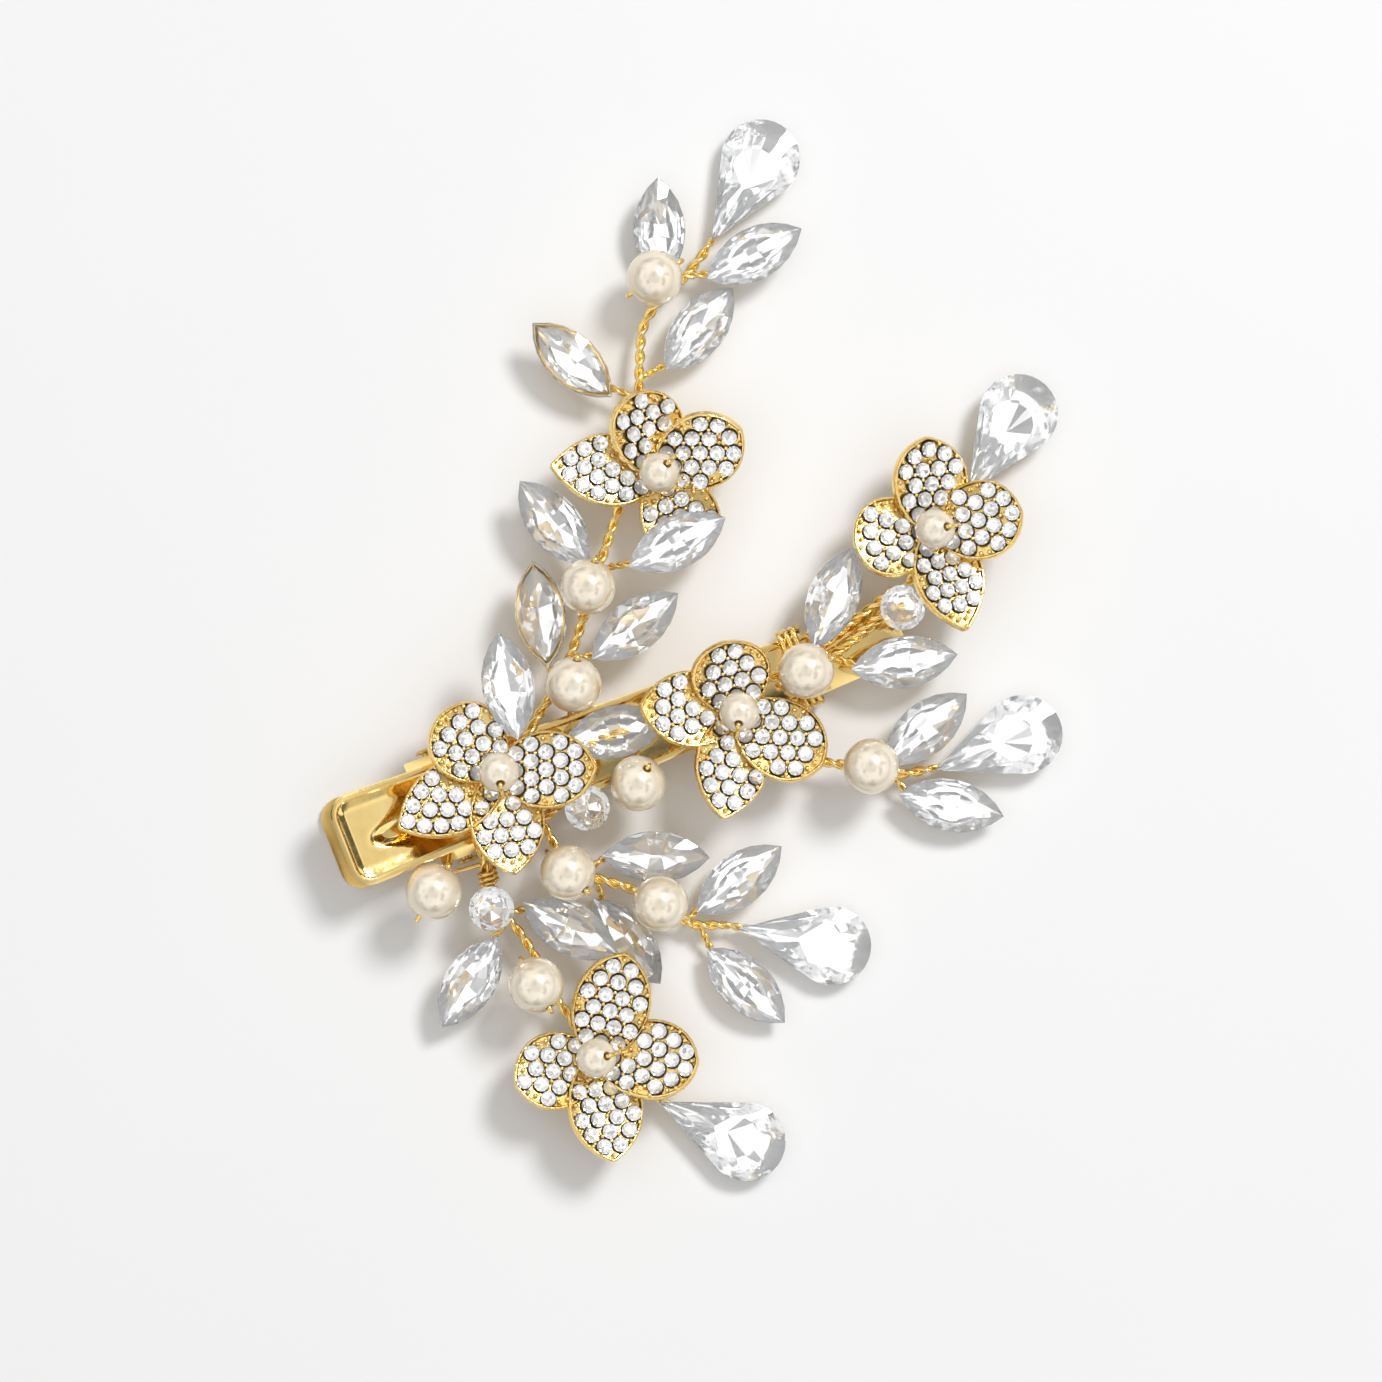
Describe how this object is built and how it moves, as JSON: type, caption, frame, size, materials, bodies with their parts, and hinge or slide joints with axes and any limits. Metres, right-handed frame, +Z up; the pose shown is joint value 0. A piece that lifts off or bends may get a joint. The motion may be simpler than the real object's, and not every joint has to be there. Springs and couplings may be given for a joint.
{
  "type": "floral hair clip",
  "caption": "Sprung hair clip whose upper arm carries a wired bridal spray of faceted crystals, pearls and pave flowers.",
  "frame": {"origin": "on the underside of the lower arm, on the clip's centre line below the hinge pin", "axes": "+X along the clip to the jaw tip, +Y along the hinge pin, +Z up from the surface that the lower arm lies on"},
  "size_m": [0.0886, 0.1045, 0.0147],
  "materials": {
    "gold_plate": "bright polished gold plate over brass",
    "crystal": "clear faceted glass with a silver foil back",
    "pearl": "cream pearl coating with a soft lustre",
    "spring_steel": "drawn steel wire"
  },
  "bodies": {
    "lower_jaw": {"lower_arm": "gold_plate", "hinge_pin": "gold_plate", "spring_coil": "spring_steel"},
    "upper_jaw": {"binding_front": "gold_plate", "binding_rear": "gold_plate", "centre_pearl_1": "pearl", "centre_pearl_2": "pearl", "centre_pearl_3": "pearl", "centre_pearl_4": "pearl", "centre_pearl_5": "pearl", "drop_crystal_01": "crystal", "drop_crystal_02": "crystal", "drop_crystal_03": "crystal", "drop_crystal_04": "crystal", "drop_crystal_05": "crystal", "flower_1": "gold_plate", "flower_2": "gold_plate", "flower_3": "gold_plate", "flower_4": "gold_plate", "flower_5": "gold_plate", "leaf_crystal_01": "crystal", "leaf_crystal_02": "crystal", "leaf_crystal_03": "crystal", "leaf_crystal_04": "crystal", "leaf_crystal_05": "crystal", "leaf_crystal_06": "crystal", "leaf_crystal_07": "crystal", "leaf_crystal_08": "crystal", "leaf_crystal_09": "crystal", "leaf_crystal_10": "crystal", "leaf_crystal_11": "crystal", "leaf_crystal_12": "crystal", "leaf_crystal_13": "crystal", "leaf_crystal_14": "crystal", "leaf_crystal_15": "crystal", "leaf_crystal_16": "crystal", "leaf_crystal_17": "crystal", "leaf_crystal_18": "crystal", "leaf_crystal_19": "crystal", "leaf_crystal_20": "crystal", "pearl_01": "pearl", "pearl_02": "pearl", "pearl_03": "pearl", "pearl_04": "pearl", "pearl_05": "pearl", "pearl_06": "pearl", "pearl_07": "pearl", "pearl_08": "pearl", "pearl_09": "pearl", "pearl_10": "pearl", "round_crystal_01": "crystal", "round_crystal_02": "crystal", "round_crystal_03": "crystal", "spring_upper_leg": "spring_steel", "stem_bottom": "gold_plate", "stem_front": "gold_plate", "stem_side": "gold_plate", "stem_top": "gold_plate", "upper_arm": "gold_plate"}
  },
  "joints": [
    {"name": "jaw_hinge", "type": "hinge", "parent": "lower_jaw", "child": "upper_jaw", "pos_m": [0, 0, 0.0032], "axis": [0, -1, 0], "range_deg": [0, 28], "stiffness_Nm_per_rad": 0.12, "springref_deg": -51.57}
  ]
}
